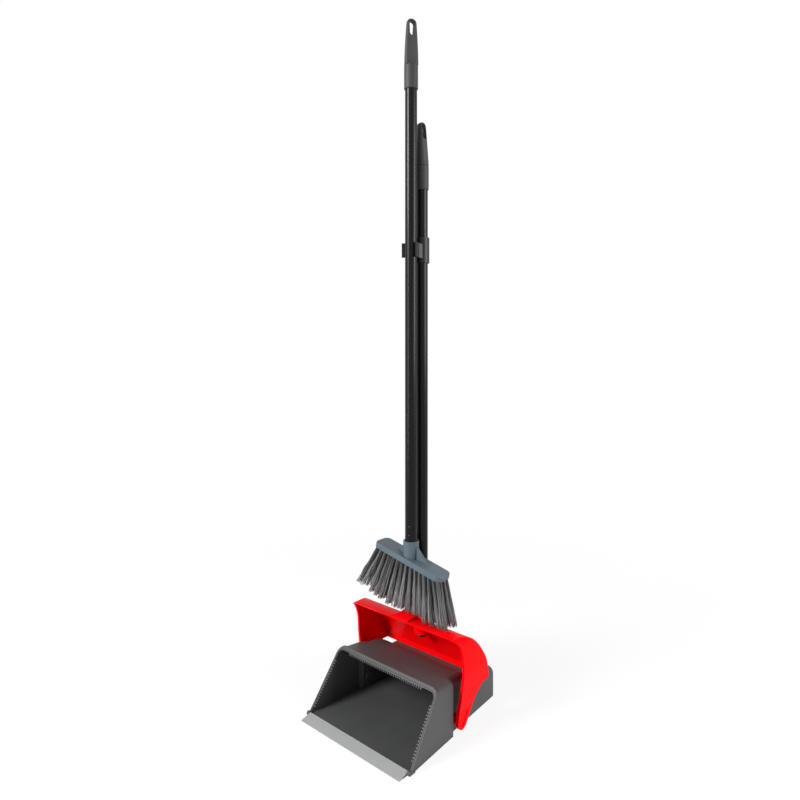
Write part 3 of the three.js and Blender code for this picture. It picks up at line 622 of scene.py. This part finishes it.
@dataclass
class Handle:
    """Yoke, pan stick, its plug and its grip."""

    edge: float = 0.8 * MM
    grip_edge: float = 0.9 * MM
    wall: float = 0.7 * MM

    def build(self, frame: dict[str, Any], palette: Palette) -> None:
        """Builds the handle's pieces.

        Args:
            frame: The loaded frame.
            palette: The finishes.
        """
        nodes = frame["nodes"]
        yoke = refined_copy("yoke_shell", nodes["yoke"], self.edge, 3)
        dress(yoke, palette.yoke, Body.HANDLE, ["yoke"])
        stick = stick_tube("pan_stick_tube", "pan_stick", self.wall)
        dress(stick, palette.stick, Body.HANDLE, ["pan_stick"])
        grip = refined_copy("pan_stick_grip", nodes["pan_grip"], self.grip_edge, 3)
        dress(grip, palette.grip, Body.HANDLE, ["pan_grip"])
        nodes["pan_stick_plug"].data.materials.clear()
        nodes["pan_stick_plug"].data.materials.append(palette.plug)


def stick_tube(name: str, node: str, wall: float,
               dent: Callable[[np.ndarray, np.ndarray], np.ndarray] | None = None) -> bpy.types.Object:
    """Makes a smooth tube in the place of a stick.

    Args:
        name: The piece's name.
        node: The CAD stick.
        wall: The tube's wall.
        dent: How much the outside gives, or None.

    Returns:
        The piece.
    """
    low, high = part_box(node)
    centre = ((low.x + high.x) / 2, (low.y + high.y) / 2)
    outer = (high.x - low.x) / 2
    profile = tube_profile(outer - wall, outer, low.z, high.z, 60, 0.2 * MM)
    return revolved(name, profile, centre, 72, dent)


@dataclass
class Clip:
    """The sliding clip between the two sticks."""

    edge: float = 0.6 * MM

    def build(self, frame: dict[str, Any], palette: Palette) -> None:
        """Builds the clip.

        Args:
            frame: The loaded frame.
            palette: The finishes.
        """
        clip = refined_copy("stick_clip_body", frame["nodes"]["stick_clip"], self.edge, 2)
        dress(clip, palette.clip, Body.CLIP, ["stick_clip"])


@dataclass
class Broom:
    """Broom stick, plug, grip, head and bristles."""

    wall: float = 0.7 * MM
    edge: float = 0.7 * MM
    grip_edge: float = 0.9 * MM
    dimple_heights: tuple[float, ...] = (311 * MM, 327 * MM)
    dimple_turn: float = -75.0
    dimple_depth: float = 1.1 * MM
    dimple_size: float = 1.7 * MM
    columns: int = 15
    rows: int = 4
    pitch: tuple[float, float] = (10.2 * MM, 8.4 * MM)
    tilt: float = 11.9
    centre: tuple[float, float] = (16.5 * MM, 259.3 * MM)
    root_radius: float = 2.5 * MM
    tip_half: tuple[float, float] = (6.7 * MM, 5.4 * MM)
    length: float = 93 * MM
    fan: tuple[float, float] = (-33.0, 12.0)
    strands: int = 52
    locks: int = 7
    strand_radius: float = 0.46 * MM
    rest_height: float = 164.6 * MM
    boss_height: float = 172.6 * MM
    boss_reach: float = 31 * MM
    seed: int = 7

    def dent(self, angle: np.ndarray, height: np.ndarray) -> np.ndarray:
        """Crimp dimples: a sum of round bell curves on the stick's outside.

        Args:
            angle: Angles round the stick.
            height: Heights, for each profile point.

        Returns:
            How much the radius gives.
        """
        turn = math.radians(self.dimple_turn)
        away = (np.angle(np.exp(1j * (angle - turn))) * 11 * MM) ** 2
        total = sum(np.exp(-(away + (height - z) ** 2) / self.dimple_size**2) for z in self.dimple_heights)
        return self.dimple_depth * total

    def build(self, frame: dict[str, Any], palette: Palette) -> None:
        """Builds the broom's pieces.

        Args:
            frame: The loaded frame.
            palette: The finishes.
        """
        nodes = frame["nodes"]
        stick = self.stick()
        dress(stick, palette.stick, Body.BROOM, ["broom_stick"])
        grip = refined_copy("broom_stick_grip", nodes["broom_grip"], self.grip_edge, 3)
        dress(grip, palette.grip, Body.BROOM, ["broom_grip"])
        head = refined_copy("broom_head_block", nodes["broom_head"], self.edge, 2)
        dress(head, palette.head, Body.BROOM, ["broom_head"])
        nodes["broom_stick_plug"].data.materials.clear()
        nodes["broom_stick_plug"].data.materials.append(palette.plug)
        random = np.random.default_rng(self.seed)
        for column in range(self.columns):
            tuft = self.bristle_column(column, random)
            dress(tuft, palette.bristle, Body.BROOM, [f"bristles_{column + 1:02d}"])

    def stick(self) -> bpy.types.Object:
        """The broom's tube, with close rings where the dimples are.

        Returns:
            The piece.
        """
        low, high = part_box("broom_stick")
        outer = (high.x - low.x) / 2
        profile = tube_profile(outer - self.wall, outer, low.z, high.z, 60, 0.2 * MM)
        fine = np.linspace(min(self.dimple_heights) - 6 * MM, max(self.dimple_heights) + 6 * MM, 48)
        outside = profile[:, 0] > outer - 1e-6
        rise = np.unique(np.concatenate([profile[outside, 1], fine]))
        ring = np.stack([np.full(len(rise), outer), rise], 1)
        first = int(np.argmax(outside))
        profile = np.concatenate([profile[:first], ring, profile[first + int(outside.sum()):]])
        centre = ((low.x + high.x) / 2, (low.y + high.y) / 2)

        def outer_dent(angle: np.ndarray, height: np.ndarray) -> np.ndarray:
            """The dimples, on the outside of the profile only.

            Args:
                angle: Angles round the stick.
                height: Heights, for each profile point.

            Returns:
                How much the radius gives.
            """
            return np.where(profile[:, :1] > outer - 1e-6, self.dent(angle, height), 0.0)

        return revolved("broom_stick_tube", profile, centre, 96, outer_dent)

    def bristle_column(self, column: int, random: np.random.Generator) -> bpy.types.Object:
        """All strands of one column of tufts.

        A strand starts in its drilled hole at a place in a disc, runs down along the column's fan
        direction, and moves away from the tuft's middle as a power of its share of the length.
        A wave that grows with the share is shared by a lock. A section is a triangle that thins.

        Args:
            column: Column number from the left.
            random: Source of the variation.

        Returns:
            The piece.
        """
        count = self.rows * self.strands
        row = np.repeat(np.arange(self.rows), self.strands)
        tilt = math.radians(self.tilt)
        along_x = (column - (self.columns - 1) / 2) * self.pitch[0]
        across = (row - (self.rows - 1) / 2) * self.pitch[1]
        root = np.stack([
            np.full(count, along_x * math.cos(tilt)), self.centre[0] + across,
            np.full(count, self.centre[1] - along_x * math.sin(tilt)),
        ], 1)
        share = column / (self.columns - 1)
        tuft_lean = random.normal(0.0, 1.6, self.rows)[row]
        angle = np.radians(self.fan[0] + (self.fan[1] - self.fan[0]) * share + tuft_lean)
        direction = np.stack([np.sin(angle), np.zeros(count), -np.cos(angle)], 1)
        disc = np.sqrt(random.uniform(0.0, 1.0, count))
        turn = random.uniform(0.0, 2.0 * math.pi, count)
        unit = np.stack([disc * np.cos(turn), disc * np.sin(turn)], 1)
        landing = np.abs(root[:, 0] + direction[:, 0] * self.length)
        floor = np.where(landing < self.boss_reach, self.boss_height, self.rest_height)
        reach = np.minimum(self.length, (root[:, 2] - floor) / -direction[:, 2])
        reach = reach - random.gamma(1.5, 0.9 * MM, count) - 0.8 * MM * disc**2
        steps = np.linspace(0.0, 1.0, 13)
        lock = row * self.locks + (turn * self.locks / (2.0 * math.pi)).astype(int)
        middle = self.strand_line(root, direction, unit, reach, steps, lock, random)
        piece = strand_tubes(f"bristle_tufts_{column + 1:02d}", middle, self.strand_radius, steps)
        shade = random.uniform(0.0, 1.0, self.rows * self.locks)[lock]
        tag = 0.65 * shade + 0.35 * random.uniform(0.0, 1.0, count)
        store(piece, "strand", np.repeat(tag, len(steps) * 3))
        store(piece, "along", np.tile(np.repeat(steps, 3), count))
        return piece

    def strand_line(self, root: np.ndarray, direction: np.ndarray, unit: np.ndarray, reach: np.ndarray,
                    steps: np.ndarray, lock: np.ndarray, random: np.random.Generator) -> np.ndarray:
        """Middle lines of the strands.

        Args:
            root: (n, 3) places of the holes.
            direction: (n, 3) fan directions.
            unit: (n, 2) places in the unit disc.
            reach: (n) free lengths.
            steps: Shares of the length, from 0 to 1.
            lock: (n) the lock each strand belongs to; a lock waves as one.
            random: Source of the variation.

        Returns:
            (n, steps, 3) places.
        """
        count = len(root)
        share = steps[None, :]
        insert = 2.0 * MM
        run = -insert + (reach[:, None] + insert) * share
        open_x = self.root_radius + (self.tip_half[0] - self.root_radius) * share**1.5
        open_y = self.root_radius + (self.tip_half[1] - self.root_radius) * share**1.5
        locks = self.rows * self.locks
        phase = random.uniform(0.0, 2.0 * math.pi, locks)[lock][:, None]
        swing = random.normal(0.0, 0.9 * MM, locks)[lock][:, None] * share
        wave = swing * np.sin(phase + 13.0 * share) + random.normal(0.0, 0.7 * MM, (count, 1)) * share**2
        side = root[:, None, 0] + direction[:, None, 0] * run + unit[:, None, 0] * open_x + wave
        depth = root[:, None, 1] + unit[:, None, 1] * open_y + 0.6 * wave * np.cos(phase)
        height = root[:, None, 2] + direction[:, None, 2] * run
        lean = math.sin(math.radians(self.tilt)) * unit[:, None, 0] * self.root_radius * (1.0 - share)
        return np.stack([side, depth, height - lean], -1)


def strand_tubes(name: str, middle: np.ndarray, radius: float, steps: np.ndarray) -> bpy.types.Object:
    """Carries a triangle along each middle line and closes its ends.

    Args:
        name: The piece's name.
        middle: (n, steps, 3) middle lines, which run mostly downwards.
        radius: Radius at the root.
        steps: Shares of the length, from 0 to 1.

    Returns:
        The piece.
    """
    count, rings = middle.shape[:2]
    corner = np.arange(3) * (2.0 * math.pi / 3.0)
    thick = radius * (1.0 - 0.35 * steps**3)[None, :, None]
    ring = np.stack([np.cos(corner), np.sin(corner), np.zeros(3)], -1)[None, None]
    points = middle[:, :, None, :] + thick[..., None] * ring
    one = grid_faces(rings, 3, False, True)
    sides = np.concatenate([one[:, [0, 2, 1]], one[:, [0, 3, 2]]])
    ends = np.array([[0, 1, 2], [3 * rings - 3, 3 * rings - 1, 3 * rings - 2]])
    faces = np.concatenate([sides, ends])
    offsets = (np.arange(count) * rings * 3)[:, None, None]
    return mesh_object(name, points.reshape(-1, 3), (faces[None] + offsets).reshape(-1, 3))


def store(piece: bpy.types.Object, name: str, values: np.ndarray) -> None:
    """Stores a number on each point of a piece.

    Args:
        piece: The piece.
        name: The attribute's name.
        values: One number for each point.
    """
    layer = piece.data.attributes.new(name, "FLOAT", "POINT")
    layer.data.foreach_set("value", np.ascontiguousarray(values, np.float32))


# ------------------------------------------------------------------ stage


@dataclass
class Stage:
    """Pale floor, soft lamps, white surround and the camera."""

    floor_size: float = 14.0
    eye: tuple[float, float, float] = (0.716, -0.8318, 0.653)
    heading: float = 41.2
    lens: float = 27.6
    shift: float = -0.07
    sensor: float = 36.0
    soft_level: float = 0.40
    shadow_share: float = 0.14
    shadow_reach: tuple[float, float] = (0.35, 1.3)

    def build(self) -> None:
        """Builds the floor, lamps, world and camera."""
        self.floor()
        self.world()
        self.lamp("key", (2.4, 0.9, 1.2), (0.0, 0.0, 0.35), (1.5, 1.5), 66.0)
        self.lamp("fill", (-0.9, -2.4, 1.9), (0.0, 0.0, 0.2), (1.0, 1.0), 92.0)
        self.lamp("strip", (-0.7, -2.0, 0.9), (0.0, 0.0, 0.6), (0.22, 1.7), 26.0)
        self.camera()

    def floor(self) -> None:
        """A plain white floor that the camera sees nearly shadowless."""
        half = self.floor_size / 2
        corners = np.array([[-half, -half, 0], [half, -half, 0], [half, half, 0], [-half, half, 0]], float)
        floor = mesh_object("studio_floor", corners, np.array([[0, 1, 2, 3]]), False)
        graph = Graph("studio_white")
        rays = graph.node("ShaderNodeLightPath").outputs
        seen = Value(graph, rays["Is Camera Ray"]) + Value(graph, rays["Is Glossy Ray"])
        seen = seen + Value(graph, rays["Is Transmission Ray"])
        matt = graph.node("ShaderNodeBsdfDiffuse", {}, {"Color": (0.86, 0.86, 0.86, 1.0)})
        glow = graph.node("ShaderNodeEmission", {}, {"Color": (1.0, 1.0, 1.0, 1.0), "Strength": 1.0})
        spread = graph.node("ShaderNodeVectorMath", {"operation": "LENGTH"}, {0: graph.place()})
        away = Value(graph, spread.outputs["Value"]).ramp(*self.shadow_reach)
        clean = (1.0 - self.shadow_share) + self.shadow_share * away
        share = seen * clean
        mixed = graph.node("ShaderNodeMixShader", {}, {0: share, 1: matt.outputs[0], 2: glow.outputs[0]})
        graph.node("ShaderNodeOutputMaterial", {}, {0: mixed.outputs[0]})
        floor.data.materials.append(graph.material)

    def world(self) -> None:
        """White to the camera and in reflections, a soft grey light otherwise."""
        world = bpy.data.worlds.new("studio_surround")
        bpy.context.scene.world = world
        world.use_nodes = True
        tree = world.node_tree
        tree.nodes.clear()
        rays = tree.nodes.new("ShaderNodeLightPath")
        soft = tree.nodes.new("ShaderNodeBackground")
        soft.inputs["Strength"].default_value = self.soft_level
        white = tree.nodes.new("ShaderNodeBackground")
        white.inputs["Color"].default_value = (1.0, 1.0, 1.0, 1.0)
        mix = tree.nodes.new("ShaderNodeMixShader")
        out = tree.nodes.new("ShaderNodeOutputWorld")
        total = rays.outputs["Is Camera Ray"]
        for ray in ("Is Glossy Ray", "Is Transmission Ray"):
            both = tree.nodes.new("ShaderNodeMath")
            tree.links.new(total, both.inputs[0])
            tree.links.new(rays.outputs[ray], both.inputs[1])
            total = both.outputs[0]
        tree.links.new(total, mix.inputs[0])
        tree.links.new(soft.outputs[0], mix.inputs[1])
        tree.links.new(white.outputs[0], mix.inputs[2])
        tree.links.new(mix.outputs[0], out.inputs[0])

    def lamp(self, name: str, place: tuple, aim: tuple, size: tuple[float, float], power: float) -> None:
        """Adds one soft rectangular lamp.

        Args:
            name: The lamp's name.
            place: Where it hangs.
            aim: Where it points.
            size: Its width and height.
            power: Its power in watts.
        """
        data = bpy.data.lights.new(name, "AREA")
        data.shape = "RECTANGLE"
        data.size, data.size_y = size
        data.energy = power
        lamp = bpy.data.objects.new(name, data)
        lamp.location = place
        lamp.rotation_euler = (Vector(aim) - Vector(place)).to_track_quat("-Z", "Y").to_euler()
        bpy.context.scene.collection.objects.link(lamp)

    def camera(self) -> None:
        """A level camera to the right and ahead of the set."""
        data = bpy.data.cameras.new("camera")
        data.sensor_width = self.sensor
        data.lens = self.lens
        data.shift_y = self.shift
        data.clip_end = 60.0
        camera = bpy.data.objects.new("camera", data)
        camera.location = self.eye
        camera.rotation_euler = (math.radians(90.0), 0.0, math.radians(self.heading))
        bpy.context.scene.collection.objects.link(camera)
        bpy.context.scene.camera = camera


def main() -> None:
    """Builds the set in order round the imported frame."""
    logging.basicConfig(level=logging.INFO, format="%(name)s %(message)s")
    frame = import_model()
    bpy.context.scene.view_settings.view_transform = "Standard"
    Stage().build()
    palette = Palette()
    for part in (Pan(), Handle(), Clip(), Broom()):
        part.build(frame, palette)


if __name__ == "__main__":
    main()
